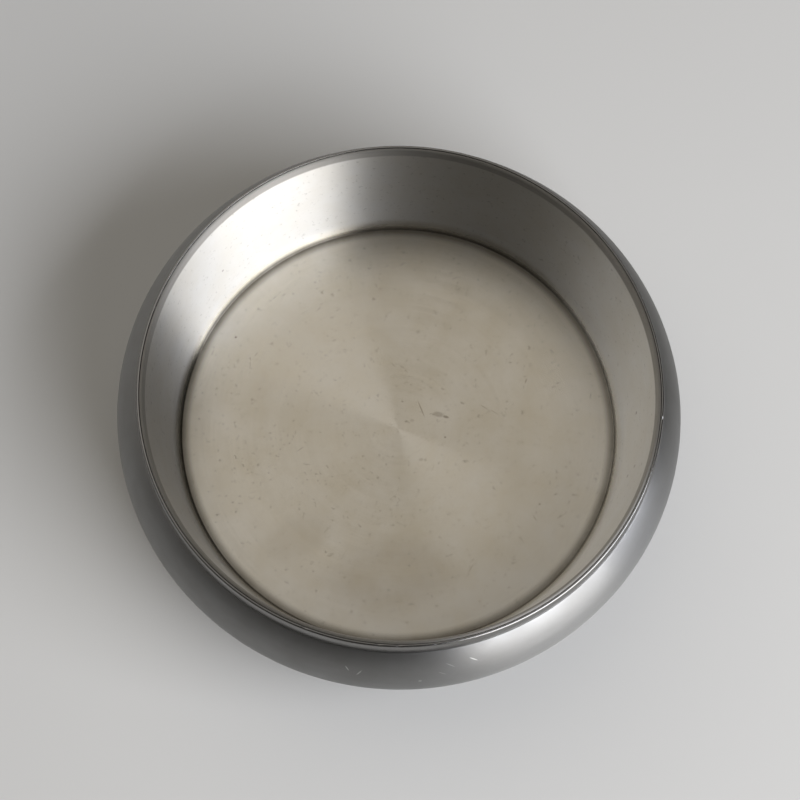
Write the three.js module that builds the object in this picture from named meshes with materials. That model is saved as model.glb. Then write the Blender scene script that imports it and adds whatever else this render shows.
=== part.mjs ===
// A double-walled steel shaving bowl, in millimetres, +Z up.
// The origin is the centre of the base, on the surface that the bowl stands on.
// Every piece is a turned or spun sheet, so each one is a section revolved about Z.
import * as THREE from 'three';

// Overall sizes
const RIM_RADIUS = 59.3;        // outside of the collar at its top edge
const BOWL_HEIGHT = 39;         // table to the top of the rim
const BELLY_BULGE = 5.9;        // how far the belly stands out past the rim
const BELLY_HEIGHT = 22.4;      // height of the widest ring above the table

// Sheets and joints
const LINER_SHEET = 0.6;
const COLLAR_SHEET = 0.6;
const SHELL_SHEET = 0.8;
const BASE_SHEET = 0.8;
const JOINT_GAP = 0.3;          // clearance between two pieces that meet

// Inner bowl
const FLOOR_LIFT = 6.6;         // table to the top of the bowl's floor
const FLOOR_FILLET = 3;         // inside radius between floor and wall
const WALL_LEAN = 8.5;          // degrees that the wall leans outwards
const LIP_DEPTH = 1.9;          // height of the flared lip above the wall
const LIP_FLARE = 0.3;          // how far the lip opens out over its height

// Rim collar
const COLLAR_HEIGHT = 4.2;
const COLLAR_FLARE = 0.36;      // extra radius at the collar's foot

// Outer shell and base
const BASE_INSET = 18.3;        // how far the base opening draws in from the belly
const BASE_LIFT = 1.15;         // table to the shell's lower edge
const FOOT_INSET = 2.3;         // shell's lower edge to the outside of the foot
const FOOT_WIDTH = 2.4;         // flat width of the pressed foot
const FOOT_SLOPE = 2.2;         // width of the slope inside the foot
const PANEL_LIFT = 1.6;         // table to the underside of the middle panel

// Vent in the base, and its plug
const VENT_RADIUS = 2.5;
const PLUG_FLANGE = 1.9;        // how far the plug's flange reaches past the vent
const PLUG_FLANGE_THICK = 0.8;
const PLUG_STEM_RISE = 1.2;     // stem above the base sheet
const PLUG_BORE_RADIUS = 0.9;   // blind hollow up the stem, open below
const PLUG_CAP = 0.6;           // material left over the hollow

// Fineness
const TURN_SEGMENTS = 64;
const PLUG_SEGMENTS = 24;
const BELLY_STEPS = 7;
const FILLET_STEPS = 5;
const EDGE_STEPS = 4;

// Sizes that follow from the ones above
const bellyRadius = RIM_RADIUS + BELLY_BULGE;
const collarFootHeight = BOWL_HEIGHT - COLLAR_HEIGHT;
const collarFootRadius = RIM_RADIUS + COLLAR_FLARE;
const shellTopHeight = collarFootHeight - JOINT_GAP;
const shellBaseRadius = bellyRadius - BASE_INSET;
const lipTopRadius = RIM_RADIUS - COLLAR_SHEET - JOINT_GAP - LINER_SHEET;
const wallTopRadius = lipTopRadius - LIP_FLARE;
const wallTopHeight = BOWL_HEIGHT - LIP_DEPTH;
const wallLean = THREE.MathUtils.degToRad(WALL_LEAN);

const steel = (name, color, roughness) => {
  const material = new THREE.MeshStandardMaterial({ color, roughness, metalness: 1 });
  material.name = name;
  return material;
};

function point(radius, height) {
  return new THREE.Vector2(radius, height);
}

// Points on an arc of a section, both ends included, angles in radians from +R.
function arc(centre, radius, from, to, steps) {
  const points = [];
  for (let step = 0; step <= steps; step += 1) {
    const angle = from + (to - from) * step / steps;
    points.push(point(centre.x + radius * Math.cos(angle), centre.y + radius * Math.sin(angle)));
  }
  return points;
}

// Revolves a section about Z. The section runs anticlockwise, with the metal on its left.
function turned(name, section, material, segments = TURN_SEGMENTS) {
  const geometry = new THREE.LatheGeometry(section, segments);
  geometry.rotateX(Math.PI / 2);
  const mesh = new THREE.Mesh(geometry, material);
  mesh.name = name;
  return mesh;
}

function closed(section) {
  return [...section, section[0].clone()];
}

// One face of the liner from the axis to the lip, at a distance outside its inner face.
function linerFace(offset) {
  const filletHeight = FLOOR_LIFT + FLOOR_FILLET;
  const wallAtFillet = wallTopRadius - Math.tan(wallLean) * (wallTopHeight - filletHeight);
  const centre = point(wallAtFillet - FLOOR_FILLET / Math.cos(wallLean), filletHeight);
  const fillet = arc(centre, FLOOR_FILLET + offset, -Math.PI / 2, -wallLean, FILLET_STEPS);
  return [
    point(0, FLOOR_LIFT - offset),
    ...fillet,
    point(wallTopRadius + offset / Math.cos(wallLean), wallTopHeight),
  ];
}

// The rounded edge of a sheet that stands upright, from its outside to its inside.
function sheetEdge(outsideRadius, sheet, topHeight) {
  const centre = point(outsideRadius - sheet / 2, topHeight - sheet / 2);
  return arc(centre, sheet / 2, 0, Math.PI, EDGE_STEPS);
}

function innerBowl(material) {
  const edge = sheetEdge(lipTopRadius + LINER_SHEET, LINER_SHEET, BOWL_HEIGHT);
  const outside = linerFace(LINER_SHEET);
  const inside = linerFace(0).reverse();
  return turned('inner_bowl', [...outside, ...edge, ...inside], material);
}

function rimCollar(material) {
  const edge = sheetEdge(RIM_RADIUS, COLLAR_SHEET, BOWL_HEIGHT);
  const section = [
    point(collarFootRadius - COLLAR_SHEET, collarFootHeight),
    point(collarFootRadius, collarFootHeight),
    ...edge,
  ];
  return turned('rim_collar', closed(section), material);
}

// The arc that leaves the widest ring upright and passes through one end point.
function bellyArc(end) {
  const inward = bellyRadius - end.x;
  const rise = end.y - BELLY_HEIGHT;
  const radius = (inward * inward + rise * rise) / (2 * inward);
  const centre = point(bellyRadius - radius, BELLY_HEIGHT);
  const angle = Math.atan2(rise, end.x - centre.x);
  return { centre, radius, angle };
}

const upperBelly = () => bellyArc(point(collarFootRadius, shellTopHeight));
const lowerBelly = () => bellyArc(point(shellBaseRadius, BASE_LIFT));

function outerShell(material) {
  const upper = upperBelly();
  const lower = lowerBelly();
  const section = [
    ...arc(lower.centre, lower.radius, lower.angle, 0, BELLY_STEPS),
    ...arc(upper.centre, upper.radius, 0, upper.angle, BELLY_STEPS).slice(1),
    ...arc(upper.centre, upper.radius - SHELL_SHEET, upper.angle, 0, BELLY_STEPS),
    ...arc(lower.centre, lower.radius - SHELL_SHEET, 0, lower.angle, BELLY_STEPS).slice(1),
  ];
  return turned('outer_shell', closed(section), material);
}

// The narrowest part of the opening under the shell, which the base plate fills.
function baseOpeningRadius() {
  const { centre, radius, angle } = lowerBelly();
  return Math.min(shellBaseRadius, centre.x + (radius - SHELL_SHEET) * Math.cos(angle));
}

function basePlate(material) {
  const edgeRadius = baseOpeningRadius() - JOINT_GAP;
  const footOutside = shellBaseRadius - FOOT_INSET;
  const footInside = footOutside - FOOT_WIDTH;
  const panelRadius = footInside - FOOT_SLOPE;
  const panelTop = PANEL_LIFT + BASE_SHEET;
  const underside = [
    point(VENT_RADIUS, PANEL_LIFT),
    point(panelRadius, PANEL_LIFT),
    point(footInside, 0),
    point(footOutside, 0),
    point(edgeRadius, BASE_LIFT),
  ];
  const upperside = [
    point(edgeRadius, BASE_LIFT + BASE_SHEET),
    point(footOutside, BASE_SHEET),
    point(footInside, BASE_SHEET),
    point(panelRadius, panelTop),
    point(VENT_RADIUS, panelTop),
  ];
  return turned('base_plate', closed([...underside, ...upperside]), material);
}

function ventPlug(material) {
  const stemRadius = VENT_RADIUS - JOINT_GAP;
  const flangeTop = PANEL_LIFT - JOINT_GAP;
  const flangeBottom = flangeTop - PLUG_FLANGE_THICK;
  const stemTop = PANEL_LIFT + BASE_SHEET + PLUG_STEM_RISE;
  const section = [
    point(0, stemTop - PLUG_CAP),
    point(PLUG_BORE_RADIUS, stemTop - PLUG_CAP),
    point(PLUG_BORE_RADIUS, flangeBottom),
    point(VENT_RADIUS + PLUG_FLANGE, flangeBottom),
    point(VENT_RADIUS + PLUG_FLANGE, flangeTop),
    point(stemRadius, flangeTop),
    point(stemRadius, stemTop),
    point(0, stemTop),
  ];
  return turned('vent_plug', section, material, PLUG_SEGMENTS);
}

const turnedSteel = steel('turned_steel', 0xb9b8b4, 0.32);
const satinSteel = steel('satin_steel', 0xb4b4b2, 0.3);
const polishedSteel = steel('polished_steel', 0xc2c1bd, 0.2);
const plainSteel = steel('plain_steel', 0xa9a9a6, 0.4);
const plugRubber = new THREE.MeshStandardMaterial({ color: 0x3a3a39, roughness: 0.7, metalness: 0 });

const shavingBowl = new THREE.Group();
shavingBowl.name = 'shaving_bowl';
shavingBowl.add(innerBowl(turnedSteel));
shavingBowl.add(rimCollar(polishedSteel));
shavingBowl.add(outerShell(satinSteel));
shavingBowl.add(basePlate(plainSteel));
shavingBowl.add(ventPlug(plugRubber));

export default shavingBowl;
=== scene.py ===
"""A double-walled spun steel shaving bowl, laid out as an add-on and run as a script."""

import math

import bmesh
import bpy
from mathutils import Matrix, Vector


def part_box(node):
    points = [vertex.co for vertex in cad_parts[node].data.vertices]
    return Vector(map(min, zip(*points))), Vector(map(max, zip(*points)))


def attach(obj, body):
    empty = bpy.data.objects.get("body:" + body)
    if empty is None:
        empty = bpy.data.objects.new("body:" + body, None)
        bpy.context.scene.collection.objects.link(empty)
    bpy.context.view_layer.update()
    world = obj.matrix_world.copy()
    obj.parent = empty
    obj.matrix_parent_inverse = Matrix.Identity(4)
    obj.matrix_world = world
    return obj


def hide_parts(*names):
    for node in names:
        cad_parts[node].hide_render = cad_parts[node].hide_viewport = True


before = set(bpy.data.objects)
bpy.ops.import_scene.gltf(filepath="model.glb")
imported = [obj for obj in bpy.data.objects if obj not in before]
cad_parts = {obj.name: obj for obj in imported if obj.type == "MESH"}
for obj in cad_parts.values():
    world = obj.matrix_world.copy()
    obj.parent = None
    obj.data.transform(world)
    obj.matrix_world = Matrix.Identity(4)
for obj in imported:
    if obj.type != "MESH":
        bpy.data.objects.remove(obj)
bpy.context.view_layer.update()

bl_info = {
    "name": "Shaving Bowl",
    "version": (1, 0, 0),
    "blender": (4, 5, 0),
    "location": "View3D > Sidebar > Bowl",
    "description": "Builds a spun steel shaving bowl around its CAD frame",
    "category": "Add Mesh",
}

MM = 0.001
TURN_STEPS = 360
COLLAR_STEPS = 720
BEND_SEGMENTS = 12
EDGE_SEGMENTS = 4
BELLY_SEGMENTS = 28
PLUG_STEPS = 96
# Knocks in the rim: degrees round the axis, then reach and depth in millimetres
RIM_DENTS = ((-4, 1, 0.3), (268.6, 0.8, 0.2), (273, 0.8, 0.2), (252.7, 0.6, 0.15), (281, 0.6, 0.12))
LONGEST_EDGE = 2 * MM
WELD_REACH = 0.001 * MM         # points closer than this become one
ROOT = "root"


def outer_radius(node):
    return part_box(node)[1].x


def lowest(node):
    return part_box(node)[0].z


def highest(node):
    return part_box(node)[1].z


# Sizes and colours


def length(name, description, default):
    return bpy.props.FloatProperty(
        name=name, description=description, default=default, min=0, unit="LENGTH", precision=5
    )


def colour(name, description, default):
    return bpy.props.StringProperty(name=name, description=description, default=default)


class BowlSizes(bpy.types.PropertyGroup):
    """Sizes that the frame's boxes don't give, in metres."""

    liner_sheet: length("Liner sheet", "Thickness of the inner bowl", 0.6 * MM)
    collar_sheet: length("Collar sheet", "Thickness of the rim collar", 0.6 * MM)
    shell_sheet: length("Shell sheet", "Thickness of the outer shell", 0.8 * MM)
    base_sheet: length("Base sheet", "Thickness of the base plate", 0.8 * MM)
    heel_width: length("Heel width", "Crease round the floor to the line of the wall", 1.34 * MM)
    heel_bend: length("Heel bend", "Inside radius from the heel into the wall", 8 * MM)
    crease_bend: length("Crease bend", "Inside radius of the crease round the floor", 0.2 * MM)
    crown_radius: length("Crown radius", "Radius where the floor starts to fall to its edge", 42 * MM)
    crown_bend: length("Crown bend", "Radius of the gentle bend down to the floor's edge", 250 * MM)
    lip_depth: length("Lip depth", "Height of the flared lip", 1.9 * MM)
    lip_flare: length("Lip flare", "How far the lip opens out", 0.3 * MM)
    collar_flare: length("Collar flare", "Extra radius at the collar's foot", 0.36 * MM)
    lip_bend: length("Lip bend", "Inside radius where the lip opens out", 0.8 * MM)
    collar_bend: length("Collar bend", "Outside radius where the collar starts to lean in", 6 * MM)
    foot_bend: length("Foot bend", "Outside radius of the foot's bends", 1.2 * MM)
    plug_cap: length("Plug cap", "Rubber left over the plug's hollow", 0.6 * MM)
    plug_rounding: length("Plug rounding", "Radius of the plug's edges", 0.15 * MM)
    lip_round: length("Lip round", "Radius along the inside of the lip", 0.48 * MM)
    crest_round: length("Crest round", "Radius along the outside of the collar's top", 0.46 * MM)
    fine_round: length("Fine round", "Radius of the other cut edges", 0.1 * MM)
    collar_skirt: length("Collar skirt", "Height of the collar's upright lower part", 1.5 * MM)
    seam: length("Seam", "Line left open between two rolled edges", 0.06 * MM)
    belly_height: length("Belly height", "Height of the widest ring", 22.4 * MM)
    base_inset: length("Base inset", "How far the base draws in from the belly", 18.3 * MM)
    base_lift: length("Base lift", "Height of the shell's lower edge", 1.15 * MM)
    foot_inset: length("Foot inset", "Shell's lower edge to the foot", 2.3 * MM)
    foot_width: length("Foot width", "Flat width of the foot", 2.4 * MM)
    foot_slope: length("Foot slope", "Width of the slope inside the foot", 2.2 * MM)
    panel_lift: length("Panel lift", "Height of the middle panel's underside", 1.6 * MM)
    vent_radius: length("Vent radius", "Radius of the hole in the base", 2.5 * MM)
    joint_gap: length("Joint gap", "Clearance between two pieces", 0.3 * MM)
    plug_bore: length("Plug bore", "Radius of the hollow up the plug", 0.9 * MM)
    crown_slope: bpy.props.FloatProperty(
        name="Crown slope",
        description="Fall of the floor near its edge",
        default=math.radians(3),
        subtype="ANGLE",
    )
    heel_slope: bpy.props.FloatProperty(
        name="Heel slope",
        description="Slope of the heel between the crease and the wall",
        default=math.radians(62),
        subtype="ANGLE",
    )
    wall_lean: bpy.props.FloatProperty(
        name="Wall lean",
        description="How far the wall leans outwards",
        default=math.radians(8.5),
        subtype="ANGLE",
    )


class BowlColours(bpy.types.PropertyGroup):
    """Colours, as sRGB hex values."""

    spun: colour("Spun steel", "Inside of the bowl", "#cdccc9")
    film: colour("Soap film", "Dried film on the inside", "#b8ab8c")
    # Colour of the stains, and of painted dark reflections on the floor
    stain_and_reflection: colour("Stain", "Specks and stains inside", "#54422c")
    satin: colour("Satin steel", "Outside of the bowl", "#90908f")
    shell_film: colour("Handled film", "Dull patches on the outside", "#7a7874")
    scuff: colour("Scuff", "Bright metal where it was scuffed", "#f4f3f1")
    polished: colour("Polished steel", "Rim collar", "#858482")
    pressed: colour("Pressed steel", "Base plate", "#b2b2af")
    rubber: colour("Rubber", "Vent plug", "#3a3a39")
    floor: colour("Floor", "Studio floor", "#cccbc7")
    backdrop: colour("Backdrop", "Behind the floor's edge", "#c4c4c3")


# Mesh tools: each piece is the outline of its section in the XZ plane, turned about Z


def draw_line(bm, corners):
    """Draws a line through (radius, height) corners and returns its points."""
    points = [bm.verts.new((radius, 0, height)) for radius, height in corners]
    for pair in zip(points, points[1:]):
        bm.edges.new(pair)
    return points


def beside(corners, thickness):
    """The same line on the sheet's other face, which lies to the left where thickness is positive."""
    points = [Vector(corner) for corner in corners]
    ways = [(end - start).normalized() for start, end in zip(points, points[1:])]
    sides = [Vector((-way.y, way.x)) for way in ways]
    return [
        point + (before + after) * (thickness / (1 + before.dot(after)))
        for point, before, after in zip(points, [sides[0], *sides], [*sides, sides[-1]])
    ]


def round_corner(bm, point, radius, segments):
    """Rounds one corner of an outline to an arc."""
    ways = [edge.other_vert(point).co - point.co for edge in point.link_edges]
    bend = math.pi - ways[0].angle(ways[1])
    bmesh.ops.bevel(
        bm,
        geom=[point],
        offset=radius * math.tan(bend / 2),
        offset_type="OFFSET",
        segments=segments,
        profile=0.5,
        affect="VERTICES",
        material=-1,
    )


def round_cut_edges(bm, ends, radii):
    """Rounds the corners where a sheet was cut."""
    for point, radius in zip(ends, radii):
        round_corner(bm, point, radius, EDGE_SEGMENTS)


def bent_sheet(corners, thickness, bends, cut_radii):
    """The outline of a bent sheet. Bends are the first face's radii at its inner corners.

    Cut radii round the cut edges: the first face's last corner, the other face's, then the same at
    the start.
    """
    bm = bmesh.new()
    face = draw_line(bm, corners)
    back = draw_line(bm, beside(corners, thickness))
    ends = [face[-1], back[-1]]
    bm.edges.new(ends)
    if corners[0][0] > 0:
        bm.edges.new((face[0], back[0]))
        ends += [face[0], back[0]]
    for index, radius in enumerate(bends, 1):
        start, corner, end = (Vector(point) for point in corners[index - 1 : index + 2])
        left_turn = math.copysign(1, (corner - start).cross(end - corner))
        round_corner(bm, face[index], radius, BEND_SEGMENTS)
        round_corner(bm, back[index], radius - left_turn * thickness, BEND_SEGMENTS)
    round_cut_edges(bm, ends, cut_radii)
    return bm


def split_long(bm, longest):
    """Cuts the outline's long straight edges into even lengths."""
    for edge in list(bm.edges):
        cuts = int(edge.calc_length() / longest)
        if cuts:
            bmesh.ops.subdivide_edges(bm, edges=[edge], cuts=cuts)


def turn(bm, steps):
    """Turns the outline about Z and closes the seam and the pole."""
    bmesh.ops.spin(
        bm,
        geom=bm.verts[:] + bm.edges[:],
        cent=(0, 0, 0),
        axis=(0, 0, 1),
        angle=math.tau,
        steps=steps,
        use_merge=True,
    )
    bmesh.ops.remove_doubles(bm, verts=bm.verts, dist=WELD_REACH)
    bmesh.ops.recalc_face_normals(bm, faces=bm.faces)


def dent(bm, around, size, depth):
    """Presses a small knock into the crest of the rim, at an angle round the axis."""
    crest = max(bm.verts, key=lambda point: point.co.z).co
    way = Vector((math.cos(around), math.sin(around), 0))
    centre = way * crest.xy.length + Vector((0, 0, crest.z))
    for point in bm.verts:
        closeness = 1 - (point.co - centre).length / size
        if closeness > 0:
            point.co.z -= depth * closeness * closeness * (3 - 2 * closeness)


def finish_piece(bm, node, material):
    """Makes the mesh an object that stands for a CAD node and takes its material slot."""
    mesh = bpy.data.meshes.new(node + "_sheet")
    bm.to_mesh(mesh)
    bm.free()
    mesh.shade_smooth()
    piece = bpy.data.objects.new(node + "_finish", mesh)
    bpy.context.scene.collection.objects.link(piece)
    mesh.materials.append(material)
    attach(piece, ROOT)
    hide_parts(node)
    return piece


# Material tools


def linear(hex_colour):
    """An sRGB hex colour as linear RGBA."""
    parts = [int(hex_colour[i : i + 2], 16) / 255 for i in (1, 3, 5)]
    return [c / 12.92 if c <= 0.04045 else ((c + 0.055) / 1.055) ** 2.4 for c in parts] + [1]


def add(tree, kind, links=None, **settings):
    """Adds one node. Settings are its properties, and inputs has its sockets' values by name or number.

    A link comes from a socket, or from the first output that a node has in use.
    """
    node = tree.nodes.new(kind)
    sockets = settings.pop("inputs", {})
    for name, value in settings.items():
        setattr(node, name, value)
    for name, value in sockets.items():
        node.inputs[name].default_value = value
    for name, source in (links or {}).items():
        if isinstance(source, bpy.types.Node):
            source = next(socket for socket in source.outputs if socket.enabled)
        tree.links.new(source, node.inputs[name])
    return node


def span(low, high, at_low, at_high):
    """The limits that turn one range of values into another."""
    return {"From Min": low, "From Max": high, "To Min": at_low, "To Max": at_high}


def new_material(name):
    material = bpy.data.materials.new(name)
    material.use_nodes = True
    tree = material.node_tree
    tree.nodes.clear()
    return material, tree


# Finish of the steel and the rubber, with lengths in millimetres
GROOVE_DRIFT = 0.02             # how fast a groove changes along its length, against across it
GROOVE_SPACING = 0.4            # coarser than the real grit so that it shows
GROOVE_NOISE = (0.25, 0.75)     # the noise values that the grooves are spread over
GROOVE_POLISH = 0.03            # how far roughness varies from groove to groove
ANISO_ROTATION = 0.25           # a quarter turn, which sets the stretch across the grooves
BLOTCH_SIZE = 9
BLOTCH_NOISE = (0.3, 0.7)
BLOTCH_POLISH = 0.015
SPECK_SIZE = 1.1
SPECK_NOISE = (0.62, 0.78)      # only the noise's peaks are specks
SPECK_STRENGTH = 0.35
FLOOR_TOP = (7.2, 10)           # heights between which the worn floor turns to wall
FLOOR_EDGE = (36, 52)           # radii between which the film thins out
FLOOR_FILM = 0.4
FLOOR_EDGE_FILM = 0.24
FLOOR_RUB = 0.233               # how much smoother the floor is than the wall
LIP_BAND = (36.9, 37.3)         # heights between which the wall turns to lip
LIP_ROUGHNESS = 0.12            # how much rougher the lip is than the wall
# Painted shade on the lip band: how strongly it covers, and its tone
LIP_SHADE_COVER = 0.8
LIP_SHADE_TONE = "#908d87"
# Painted shade: a dark ring in the crease round the floor
CORNER_SHADE_START = (55.8, 58.2)       # painted shade: radius and height together, from the floor's edge to the crease
CORNER_SHADE_END = (58.4, 60.2)         # the same, from the crease up the heel
CORNER_SHADE_STRENGTH = 0.85
CORNER_SHADE_THINNEST = 0.85            # share of the painted shade that is left where it is thinnest
# Tone of the dried specks, and of the painted shade in the crease
SOIL_AND_SHADE_TONE = "#4c463c"
MARK_CORE = 0.4                 # share of a mark's size over which it is at full strength
PIT_SIZE = 0.5
PIT_DEPTH = 0.03
RUBBER_ROUGHNESS = (0.55, 0.8)
RUBBER_IOR = 1.52

# The studio floor, in metres
STUDIO_REACH = 2                # from the middle of the floor to its edge
PAINTED_LIGHT_POOL = (0.15, 0.8)       # painted pool of light: how far its full tone reaches, and where it is darkest
PAINTED_POOL_FAR_TONE = 0.6           # the painted pool's darkest tone, as a share of its full one
STUDIO_CLOUDING = 0.015         # how far the paint is uneven
STUDIO_CLOUD_SIZE = 1 / 12


def scaled(limits):
    """Limits in millimetres as Blender's metres."""
    return [limit * MM for limit in limits]


def draw_marks(tree, place, marks):
    """Small marks, each fading out at its edge. Returns how strongly they cover the surface."""
    total = None
    for x, y, z, tilted, turned, long, wide, deep, strength in marks:
        spot = add(tree, "ShaderNodeMapping", {"Vector": place}, vector_type="TEXTURE", inputs={
            "Location": (x * MM, y * MM, z * MM),
            "Rotation": (0, math.radians(tilted), math.radians(turned)),
            "Scale": (long / 2 * MM, wide / 2 * MM, deep / 2 * MM),
        })
        away = add(tree, "ShaderNodeVectorMath", {0: spot}, operation="LENGTH")
        mark = add(
            tree,
            "ShaderNodeMapRange",
            {"Value": away},
            interpolation_type="SMOOTHSTEP",
            inputs=span(MARK_CORE, 1, strength, 0),
        )
        total = add(tree, "ShaderNodeMath", {0: mark, 1: total}, operation="MAXIMUM") if total else mark
    return total


def spun_steel(
    name, base, film, cover, roughness, anisotropy, groove_depth, marks=(), mark=None, inside=False
):
    """Stainless steel that was worked round its axis, which leaves fine grooves.

    The grooves stretch each highlight across them, so lights show as bright radial fans. A thin dried
    film dulls it in patches, and handling leaves small marks. Inside, the crease round the floor and the
    lip have painted shade, and two of the marks are painted reflections.
    """
    material, tree = new_material(name)
    place = add(tree, "ShaderNodeTexCoord").outputs["Object"]
    split = add(tree, "ShaderNodeSeparateXYZ", {0: place}).outputs
    flat = add(tree, "ShaderNodeCombineXYZ", {"X": split["X"], "Y": split["Y"]})
    radius = add(tree, "ShaderNodeVectorMath", {0: flat}, operation="LENGTH")
    across = add(tree, "ShaderNodeMath", {0: split["Z"], 1: radius}, operation="ADD")
    # Long arcs: fine across the grooves, and slowly changing along them
    lane = add(tree, "ShaderNodeCombineXYZ", {"Z": across})
    drift = add(tree, "ShaderNodeVectorMath", {0: flat}, operation="SCALE", inputs={"Scale": GROOVE_DRIFT})
    lanes = add(tree, "ShaderNodeVectorMath", {0: lane, 1: drift}, operation="ADD")
    groove = add(
        tree,
        "ShaderNodeTexNoise",
        {"Vector": lanes},
        inputs={"Scale": 1 / (GROOVE_SPACING * MM), "Detail": 3, "Roughness": 0.65},
    )
    blotch = add(
        tree,
        "ShaderNodeTexNoise",
        {"Vector": place},
        inputs={"Scale": 1 / (BLOTCH_SIZE * MM), "Detail": 5, "Roughness": 0.6},
    )
    filmed = add(tree, "ShaderNodeMapRange", {"Value": blotch}, inputs=span(*BLOTCH_NOISE, *cover))
    rubbed = add(
        tree,
        "ShaderNodeMapRange",
        {"Value": groove},
        inputs=span(*GROOVE_NOISE, roughness - GROOVE_POLISH, roughness + GROOVE_POLISH),
    )
    dulled = add(
        tree,
        "ShaderNodeMapRange",
        {"Value": blotch},
        inputs=span(*BLOTCH_NOISE, -BLOTCH_POLISH, BLOTCH_POLISH),
    )
    polish = add(tree, "ShaderNodeMath", {0: rubbed, 1: dulled}, operation="ADD")
    if inside:
        filmed, polish = rubbed_floor(tree, split["Z"], radius, filmed, polish)
    tone = add(
        tree,
        "ShaderNodeMix",
        {"Factor": filmed},
        data_type="RGBA",
        inputs={"A": linear(base), "B": linear(film)},
    )
    if inside:
        tone = pitting(tree, place, tone)
        # Painted shade in the crease round the floor
        tone = painted_corner_shade(tree, across, blotch, tone)
        # Painted shade on the lip
        tone = painted_lip_shade(tree, split["Z"], tone)
    if marks:
        tone = add(
            tree,
            "ShaderNodeMix",
            {"Factor": draw_marks(tree, place, marks), "A": tone},
            data_type="RGBA",
            inputs={"B": linear(mark)},
        )
    bump = add(
        tree,
        "ShaderNodeBump",
        {"Height": groove},
        inputs={"Strength": 1, "Distance": groove_depth * MM},
    )
    tangent = add(tree, "ShaderNodeTangent", direction_type="RADIAL", axis="Z")
    shader = add(
        tree,
        "ShaderNodeBsdfPrincipled",
        {"Base Color": tone, "Roughness": polish, "Normal": bump, "Tangent": tangent},
        inputs={"Metallic": 1, "Anisotropic": anisotropy, "Anisotropic Rotation": ANISO_ROTATION},
    )
    add(tree, "ShaderNodeOutputMaterial", {"Surface": shader})
    return material


def rubbed_floor(tree, height, radius, filmed, polish):
    """The floor is worn smoother than the wall, and more film dries on it. The lip is left rougher."""
    floor = add(
        tree,
        "ShaderNodeMapRange",
        {"Value": height},
        interpolation_type="SMOOTHSTEP",
        inputs=span(*scaled(FLOOR_TOP), 1, 0),
    )
    dried = add(
        tree,
        "ShaderNodeMapRange",
        {"Value": radius},
        inputs=span(*scaled(FLOOR_EDGE), FLOOR_FILM, FLOOR_EDGE_FILM),
    )
    lip = add(
        tree, "ShaderNodeMapRange", {"Value": height}, inputs=span(*scaled(LIP_BAND), 0, LIP_ROUGHNESS)
    )
    more_film = add(tree, "ShaderNodeMath", {0: floor, 1: dried}, operation="MULTIPLY")
    smoother = add(tree, "ShaderNodeMath", {0: floor}, operation="MULTIPLY", inputs={1: FLOOR_RUB})
    polish = add(tree, "ShaderNodeMath", {0: polish, 1: smoother}, operation="SUBTRACT")
    return (
        add(tree, "ShaderNodeMath", {0: filmed, 1: more_film}, operation="ADD"),
        add(tree, "ShaderNodeMath", {0: polish, 1: lip}, operation="ADD"),
    )


def pitting(tree, place, tone):
    """Fine specks where soap and hard water dried."""
    grain = add(
        tree,
        "ShaderNodeTexNoise",
        {"Vector": place},
        inputs={"Scale": 1 / (SPECK_SIZE * MM), "Detail": 2, "Roughness": 0.7},
    )
    specks = add(tree, "ShaderNodeMapRange", {"Value": grain}, inputs=span(*SPECK_NOISE, 0, SPECK_STRENGTH))
    return add(
        tree,
        "ShaderNodeMix",
        {"Factor": specks, "A": tone},
        data_type="RGBA",
        inputs={"B": linear(SOIL_AND_SHADE_TONE)},
    )


def painted_corner_shade(tree, across, blotch, tone):
    """Painted shade: a patchy dark ring in the corner round the floor. Across is radius plus height."""
    rise = add(
        tree,
        "ShaderNodeMapRange",
        {"Value": across},
        interpolation_type="SMOOTHSTEP",
        inputs=span(*scaled(CORNER_SHADE_START), 0, CORNER_SHADE_STRENGTH),
    )
    fall = add(
        tree,
        "ShaderNodeMapRange",
        {"Value": across},
        interpolation_type="SMOOTHSTEP",
        inputs=span(*scaled(CORNER_SHADE_END), 1, 0),
    )
    patchy = add(tree, "ShaderNodeMapRange", {"Value": blotch}, inputs=span(*BLOTCH_NOISE, CORNER_SHADE_THINNEST, 1))
    ring = add(tree, "ShaderNodeMath", {0: rise, 1: fall}, operation="MULTIPLY")
    painted_shade = add(tree, "ShaderNodeMath", {0: ring, 1: patchy}, operation="MULTIPLY")
    return add(
        tree,
        "ShaderNodeMix",
        {"Factor": painted_shade, "A": tone},
        data_type="RGBA",
        inputs={"B": linear(SOIL_AND_SHADE_TONE)},
    )


def painted_lip_shade(tree, height, tone):
    """Painted shade: the lip band has a darker tone than the polished wall."""
    dulled = add(
        tree, "ShaderNodeMapRange", {"Value": height}, inputs=span(*scaled(LIP_BAND), 0, LIP_SHADE_COVER)
    )
    return add(
        tree,
        "ShaderNodeMix",
        {"Factor": dulled, "A": tone},
        data_type="RGBA",
        inputs={"B": linear(LIP_SHADE_TONE)},
    )


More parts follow.
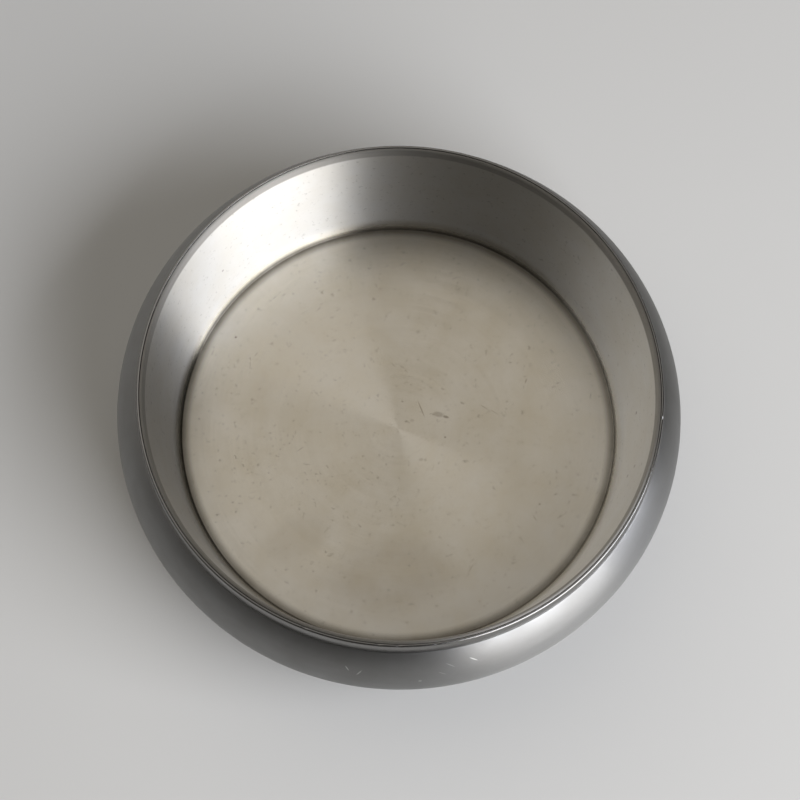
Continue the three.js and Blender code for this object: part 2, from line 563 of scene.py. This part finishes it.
# Marks: x, y, z, tilt about Y, turn about Z, then length, width, depth and strength.
# Lengths are in millimetres and turns in degrees.
INSIDE_STAINS_AND_REFLECTIONS = (
    (9.4, 4.2, 7.1, 0, -8, 3.4, 1.8, 2, 0.32),
    (11.2, 3.7, 7.1, 0, -12, 2, 0.9, 2, 0.5),
    (5.2, 5.3, 7.1, 0, 115, 5.6, 0.35, 2, 0.45),
    (11.3, -1.4, 7.1, 0, 0, 0.7, 0.6, 2, 0.5),
    (3.2, 2.3, 7.1, 0, 0, 1.3, 1.1, 2, 0.18),
    (5.9, -7.3, 7.1, 0, 20, 1.5, 1, 2, 0.2),
    (-23, -6.6, 7.1, 0, 40, 3, 0.3, 2, 0.25),
    (20.3, 6.7, 7.1, 0, -30, 2.8, 0.3, 2, 0.3),
    (22.8, 5.6, 7.1, 0, -30, 3.4, 0.25, 2, 0.25),
    (-40.6, 20.7, 7.1, 0, 0, 0.7, 0.7, 2, 0.6),
    (-35.3, 16.6, 7.1, 0, 60, 1.4, 0.4, 2, 0.25),
    (0.6, 6.9, 7.1, 0, 0, 0.8, 0.6, 2, 0.3),
    (30, 14, 7.1, 0, 70, 1.6, 0.5, 2, 0.35),
    (34.5, -16.5, 6.8, 0, 0, 0.7, 0.6, 2, 0.5),
    (33.5, -20, 6.8, 0, -55, 2.4, 0.3, 2, 0.3),
    (19, -33, 6.8, 0, 60, 3, 0.35, 2, 0.25),
    # Painted reflections: two broad, faint dark patches on the near side of the floor
    (0, -36, 7, 0, 10, 40, 24, 8, 0.14),
    (-22, -28, 7, 0, 30, 22, 14, 8, 0.08),
    (-44, 32.8, 19.5, 0, 0, 0.9, 0.9, 1, 0.5),
    (55.1, 2.9, 21.5, 0, 0, 1, 1, 1.6, 0.5),
    (54.6, -11.1, 25, 0, 0, 1, 1, 2, 0.4),
    (53.6, -12.1, 20, 0, 0, 1, 1, 2, 0.4),
)
OUTSIDE_MARKS = (
    (-8, -62.8, 30, 60, 8, 2.2, 2, 0.35, 0.5),
    (-5.3, -63.5, 29.2, -55, 5, 2.8, 2, 0.35, 0.45),
    (19.6, -59.3, 31.4, 35, 16, 3, 2, 0.35, 0.6),
    (14.6, -60.9, 31.1, 35, 12, 3.4, 2, 0.3, 0.25),
    (13, -62.2, 29, 35, 12, 3, 2, 0.3, 0.2),
    (8.2, -64, 26.9, 0, 6, 1, 1, 1, 0.25),
)


def moulded_rubber(base):
    """Moulded rubber, which is dull, dark and slightly pitted."""
    material, tree = new_material("moulded_rubber")
    place = add(tree, "ShaderNodeTexCoord").outputs["Object"]
    pits = add(
        tree,
        "ShaderNodeTexNoise",
        {"Vector": place},
        inputs={"Scale": 1 / (PIT_SIZE * MM), "Detail": 3},
    )
    bump = add(tree, "ShaderNodeBump", {"Height": pits}, inputs={"Distance": PIT_DEPTH * MM})
    polish = add(tree, "ShaderNodeMapRange", {"Value": pits}, inputs=span(0, 1, *RUBBER_ROUGHNESS))
    shader = add(
        tree,
        "ShaderNodeBsdfPrincipled",
        {"Roughness": polish, "Normal": bump},
        inputs={"Base Color": linear(base), "IOR": RUBBER_IOR},
    )
    add(tree, "ShaderNodeOutputMaterial", {"Surface": shader})
    return material


def painted_floor(base):
    """Smooth matt paint in a painted pool of light: pale under the bowl, darker further off, so the steel
    mirrors less.
    """
    material, tree = new_material("painted_floor")
    place = add(tree, "ShaderNodeTexCoord").outputs["Object"]
    away = add(tree, "ShaderNodeVectorMath", {0: place}, operation="LENGTH")
    # Painted pool of light: the floor's tone falls off with distance from the bowl
    painted_pool = add(
        tree,
        "ShaderNodeMapRange",
        {"Value": away},
        interpolation_type="SMOOTHSTEP",
        inputs=span(*PAINTED_LIGHT_POOL, 1, PAINTED_POOL_FAR_TONE),
    )
    cloud = add(
        tree,
        "ShaderNodeTexNoise",
        {"Vector": place},
        inputs={"Scale": 1 / STUDIO_CLOUD_SIZE, "Detail": 3},
    )
    value = add(
        tree,
        "ShaderNodeMapRange",
        {"Value": cloud},
        inputs=span(0, 1, 1 - STUDIO_CLOUDING, 1 + STUDIO_CLOUDING),
    )
    shaded = add(tree, "ShaderNodeMath", {0: value, 1: painted_pool}, operation="MULTIPLY")
    tone = add(
        tree,
        "ShaderNodeVectorMath",
        {"Scale": shaded},
        operation="SCALE",
        inputs={0: linear(base)[:3]},
    )
    shader = add(
        tree,
        "ShaderNodeBsdfPrincipled",
        {"Base Color": tone},
        inputs={"Roughness": 0.9, "Specular IOR Level": 0.1},
    )
    add(tree, "ShaderNodeOutputMaterial", {"Surface": shader})
    return material


# Pieces


class BOWL_OT_inner_bowl(bpy.types.Operator):
    """Spin the liner: floor, rounded corner, leaning wall and flared lip"""

    bl_idname = "bowl.inner_bowl"
    bl_label = "Inner Bowl"

    def execute(self, context):
        sizes, colours = context.scene.bowl_sizes, context.scene.bowl_colours
        sheet = sizes.liner_sheet
        floor_height = lowest("inner_bowl") + sheet
        top = highest("inner_bowl")
        collar_inside = outer_radius("rim_collar") - sizes.collar_flare - sizes.collar_sheet
        wall_radius = outer_radius("inner_bowl") - sheet - sizes.lip_flare
        wall_height = top - sizes.lip_depth
        lean = math.tan(sizes.wall_lean)
        slope = math.tan(sizes.heel_slope)
        crease_radius = wall_radius - lean * (wall_height - floor_height) - sizes.heel_width
        middle_height = floor_height + (crease_radius - sizes.crown_radius) * math.tan(sizes.crown_slope)
        heel_reach = sizes.heel_width / (1 - lean * slope)
        inside = [
            (0, middle_height),
            (sizes.crown_radius, middle_height),
            (crease_radius, floor_height),
            (crease_radius + heel_reach, floor_height + slope * heel_reach),
            (wall_radius, wall_height),
            (collar_inside - sizes.seam - sheet, top),
        ]
        bends = [sizes.crown_bend, sizes.crease_bend, sizes.heel_bend, sizes.lip_bend]
        bm = bent_sheet(inside, -sheet, bends, (sizes.lip_round, sizes.fine_round))
        split_long(bm, LONGEST_EDGE)
        turn(bm, TURN_STEPS)
        # Turned, with the grooves left in: broad bright fans on the wall, a softer sheen on the worn floor
        steel = spun_steel(
            "turned_steel_inside",
            base=colours.spun,
            film=colours.film,
            cover=(0, 0.17),
            roughness=0.468,
            anisotropy=0.96,
            groove_depth=0.0012,
            marks=INSIDE_STAINS_AND_REFLECTIONS,
            mark=colours.stain_and_reflection,
            inside=True,
        )
        finish_piece(bm, "inner_bowl", steel)
        return {"FINISHED"}


class BOWL_OT_rim_collar(bpy.types.Operator):
    """Spin the collar that closes the rim"""

    bl_idname = "bowl.rim_collar"
    bl_label = "Rim Collar"

    def execute(self, context):
        sizes, colours = context.scene.bowl_sizes, context.scene.bowl_colours
        foot, top = lowest("rim_collar"), highest("rim_collar")
        foot_radius = outer_radius("rim_collar")
        outside = [
            (foot_radius, highest("outer_shell") + sizes.seam),
            (foot_radius, foot + sizes.collar_skirt),
            (foot_radius - sizes.collar_flare, top),
        ]
        cut_radii = (sizes.crest_round, sizes.fine_round, sizes.fine_round, sizes.fine_round)
        bm = bent_sheet(outside, sizes.collar_sheet, [sizes.collar_bend], cut_radii)
        split_long(bm, LONGEST_EDGE)
        turn(bm, COLLAR_STEPS)
        for azimuth, size, depth in RIM_DENTS:
            dent(bm, math.radians(azimuth), size * MM, depth * MM)
        # Polished after turning: the narrow, sharp highlight of a rim
        steel = spun_steel(
            "polished_steel_rim",
            base=colours.polished,
            film=colours.shell_film,
            cover=(0, 0.5),
            roughness=0.24,
            anisotropy=0.6,
            groove_depth=0.0012,
        )
        finish_piece(bm, "rim_collar", steel)
        return {"FINISHED"}


class BOWL_OT_outer_shell(bpy.types.Operator):
    """Spin the belly from two arcs that meet at the widest ring"""

    bl_idname = "bowl.outer_shell"
    bl_label = "Outer Shell"

    def execute(self, context):
        sizes, colours = context.scene.bowl_sizes, context.scene.bowl_colours
        belly = outer_radius("outer_shell")
        ends = [
            (outer_radius("rim_collar"), highest("outer_shell")),
            (belly - sizes.base_inset, sizes.base_lift),
        ]
        bm = bmesh.new()
        widest_ring = [(belly, sizes.belly_height), (belly - sizes.shell_sheet, sizes.belly_height)]
        widest = draw_line(bm, widest_ring)
        bmesh.ops.delete(bm, geom=bm.edges[:], context="EDGES_FACES")
        for radius, height in ends:
            inward = belly - radius
            rise = height - sizes.belly_height
            arc_radius = (inward * inward + rise * rise) / (2 * inward)
            arc = bmesh.ops.spin(
                bm,
                geom=widest,
                cent=(belly - arc_radius, 0, sizes.belly_height),
                axis=(0, -1, 0),
                angle=math.atan2(rise, arc_radius - inward),
                steps=BELLY_SEGMENTS,
            )
            cut = [part for part in arc["geom_last"] if isinstance(part, bmesh.types.BMVert)]
            bm.edges.new(cut)
            round_cut_edges(bm, cut, [sizes.fine_round] * 2)
        turn(bm, TURN_STEPS)
        # Rubbed to a satin: darker, with a wide glow where it turns to the light
        steel = spun_steel(
            "satin_steel_outside",
            base=colours.satin,
            film=colours.shell_film,
            cover=(0, 0.3),
            roughness=0.4,
            anisotropy=0.84,
            groove_depth=0.0012,
            marks=OUTSIDE_MARKS,
            mark=colours.scuff,
        )
        finish_piece(bm, "outer_shell", steel)
        return {"FINISHED"}


class BOWL_OT_base_plate(bpy.types.Operator):
    """Spin the base plate with its pressed foot and its vent"""

    bl_idname = "bowl.base_plate"
    bl_label = "Base Plate"

    def execute(self, context):
        sizes, colours = context.scene.bowl_sizes, context.scene.bowl_colours
        foot_outside = outer_radius("outer_shell") - sizes.base_inset - sizes.foot_inset
        foot_inside = foot_outside - sizes.foot_width
        underside = [
            (sizes.vent_radius, sizes.panel_lift),
            (foot_inside - sizes.foot_slope, sizes.panel_lift),
            (foot_inside, 0),
            (foot_outside, 0),
            (outer_radius("base_plate"), sizes.base_lift),
        ]
        bends = [sizes.foot_bend + sizes.base_sheet, sizes.foot_bend, sizes.foot_bend]
        bm = bent_sheet(underside, sizes.base_sheet, bends, [sizes.fine_round] * 4)
        split_long(bm, LONGEST_EDGE)
        turn(bm, TURN_STEPS)
        # Pressed from sheet and lightly rubbed: even and dull, with only faint fans
        steel = spun_steel(
            "pressed_steel_base",
            base=colours.pressed,
            film=colours.shell_film,
            cover=(0, 0.4),
            roughness=0.42,
            anisotropy=0.4,
            groove_depth=0.002,
        )
        finish_piece(bm, "base_plate", steel)
        return {"FINISHED"}


class BOWL_OT_vent_plug(bpy.types.Operator):
    """Turn the rubber plug that closes the vent"""

    bl_idname = "bowl.vent_plug"
    bl_label = "Vent Plug"

    def execute(self, context):
        sizes, colours = context.scene.bowl_sizes, context.scene.bowl_colours
        low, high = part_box("vent_plug")
        stem = sizes.vent_radius - sizes.joint_gap
        flange_top = sizes.panel_lift - sizes.joint_gap
        bore_end = high.z - sizes.plug_cap
        bm = bmesh.new()
        points = draw_line(bm, [
            (0, bore_end),
            (sizes.plug_bore, bore_end),
            (sizes.plug_bore, low.z),
            (high.x, low.z),
            (high.x, flange_top),
            (stem, flange_top),
            (stem, high.z),
            (0, high.z),
        ])
        round_cut_edges(bm, points[1:-1], [sizes.plug_rounding] * 6)
        turn(bm, PLUG_STEPS)
        finish_piece(bm, "vent_plug", moulded_rubber(colours.rubber))
        return {"FINISHED"}


# Stage

CAMERA_ELEVATION = math.radians(71.9)
CAMERA_ROLL = math.radians(3.5)
CAMERA_DISTANCE = 472 * MM
CAMERA_AIM_BACK = 3.2 * MM      # the camera aims this far on the near side of the axis
CAMERA_LENS = 94.8              # in millimetres, as is the sensor
CAMERA_SENSOR = 36
CAMERA_NEAREST = 10 * MM        # nothing closer to the camera is drawn
LIGHT_DISTANCE = 1.2
ROOM_SIDE = (125, 50)           # azimuth and elevation of the room's brightest side
ROOM_SPREAD = 0.55              # cosine of the angle from that side at which the glow ends
ROOM_GLOW = 0.87
ROOM_DARK = 0.05


def place_camera():
    data = bpy.data.cameras.new("studio_camera")
    data.lens = CAMERA_LENS
    data.sensor_width = CAMERA_SENSOR
    data.clip_start = CAMERA_NEAREST
    camera = bpy.data.objects.new("studio_camera", data)
    bpy.context.scene.collection.objects.link(camera)
    aim = Vector((0, -CAMERA_AIM_BACK, highest("rim_collar")))
    back = Vector((0, -math.cos(CAMERA_ELEVATION), math.sin(CAMERA_ELEVATION)))
    camera.location = aim + back * CAMERA_DISTANCE
    camera.rotation_euler = (math.pi / 2 - CAMERA_ELEVATION, 0, 0)
    camera.rotation_euler.rotate_axis("Z", CAMERA_ROLL)
    bpy.context.scene.camera = camera


def towards(azimuth, elevation):
    """The direction at an azimuth and elevation in degrees, anticlockwise from +X."""
    around, rise = math.radians(azimuth), math.radians(elevation)
    return Vector((math.cos(around) * math.cos(rise), math.sin(around) * math.cos(rise), math.sin(rise)))


def softbox(name, azimuth, elevation, width, height, radiance, tint):
    """A soft area light that faces the bowl, of the given brightness."""
    data = bpy.data.lights.new(name, "AREA")
    data.shape = "RECTANGLE"
    data.size, data.size_y = width, height
    data.energy = radiance * math.pi * width * height
    data.color = linear(tint)[:3]
    light = bpy.data.objects.new(name, data)
    bpy.context.scene.collection.objects.link(light)
    away = towards(azimuth, elevation)
    light.location = away * LIGHT_DISTANCE
    light.rotation_euler = away.to_track_quat("Z", "Y").to_euler()


def room_light(tint, backdrop):
    """A dim room that is brightest on its far, pale side. Seen directly it is a plain backdrop."""
    world = bpy.data.worlds.new("studio_room")
    world.use_nodes = True
    tree = world.node_tree
    tree.nodes.clear()
    way = add(tree, "ShaderNodeTexCoord").outputs["Generated"]
    facing = add(
        tree, "ShaderNodeVectorMath", {0: way}, operation="DOT_PRODUCT", inputs={1: towards(*ROOM_SIDE)}
    )
    glow = add(
        tree,
        "ShaderNodeMapRange",
        {"Value": facing},
        interpolation_type="SMOOTHSTEP",
        inputs=span(ROOM_SPREAD, 1, ROOM_DARK, ROOM_GLOW),
    )
    room = add(tree, "ShaderNodeBackground", {"Strength": glow}, inputs={"Color": linear(tint)})
    plain = add(tree, "ShaderNodeBackground", inputs={"Color": linear(backdrop)})
    direct = add(tree, "ShaderNodeLightPath").outputs["Is Camera Ray"]
    mix = add(tree, "ShaderNodeMixShader", {0: direct, 1: room, 2: plain})
    add(tree, "ShaderNodeOutputWorld", {"Surface": mix})
    bpy.context.scene.world = world


class BOWL_OT_stage(bpy.types.Operator):
    """Lay the floor and set the lights and the camera"""

    bl_idname = "bowl.stage"
    bl_label = "Stage"

    def execute(self, context):
        bm = bmesh.new()
        bmesh.ops.create_grid(bm, x_segments=1, y_segments=1, size=STUDIO_REACH)
        mesh = bpy.data.meshes.new("studio_floor")
        bm.to_mesh(mesh)
        bm.free()
        floor = bpy.data.objects.new("studio_floor", mesh)
        context.scene.collection.objects.link(floor)
        mesh.materials.append(painted_floor(context.scene.bowl_colours.floor))
        place_camera()
        softbox(
            "window", azimuth=328.5, elevation=38, width=1.22, height=0.65, radiance=7.15, tint="#f2f5fe"
        )
        softbox(
            "window_foot", azimuth=315, elevation=12, width=0.95, height=0.45, radiance=4.8, tint="#fffcf8"
        )
        room_light("#fffaf3", context.scene.bowl_colours.backdrop)
        context.scene.view_settings.view_transform = "Standard"
        return {"FINISHED"}


OPERATORS = (
    BOWL_OT_inner_bowl,
    BOWL_OT_rim_collar,
    BOWL_OT_outer_shell,
    BOWL_OT_base_plate,
    BOWL_OT_vent_plug,
    BOWL_OT_stage,
)


class BOWL_PT_panel(bpy.types.Panel):
    """Lists the bowl's pieces and sizes"""

    bl_idname = "BOWL_PT_panel"
    bl_label = "Shaving Bowl"
    bl_space_type = "VIEW_3D"
    bl_region_type = "UI"
    bl_category = "Bowl"

    def draw(self, context):
        for group in (context.scene.bowl_sizes, context.scene.bowl_colours):
            for name in group.__annotations__:
                self.layout.prop(group, name)
        for operator in OPERATORS:
            self.layout.operator(operator.bl_idname)


CLASSES = (BowlSizes, BowlColours, *OPERATORS, BOWL_PT_panel)


def register():
    for cls in CLASSES:
        bpy.utils.register_class(cls)
    bpy.types.Scene.bowl_sizes = bpy.props.PointerProperty(type=BowlSizes)
    bpy.types.Scene.bowl_colours = bpy.props.PointerProperty(type=BowlColours)


def unregister():
    del bpy.types.Scene.bowl_colours
    del bpy.types.Scene.bowl_sizes
    for cls in reversed(CLASSES):
        bpy.utils.unregister_class(cls)


def main():
    register()
    bpy.ops.bowl.inner_bowl()
    bpy.ops.bowl.rim_collar()
    bpy.ops.bowl.outer_shell()
    bpy.ops.bowl.base_plate()
    bpy.ops.bowl.vent_plug()
    bpy.ops.bowl.stage()


if __name__ == "__main__":
    main()
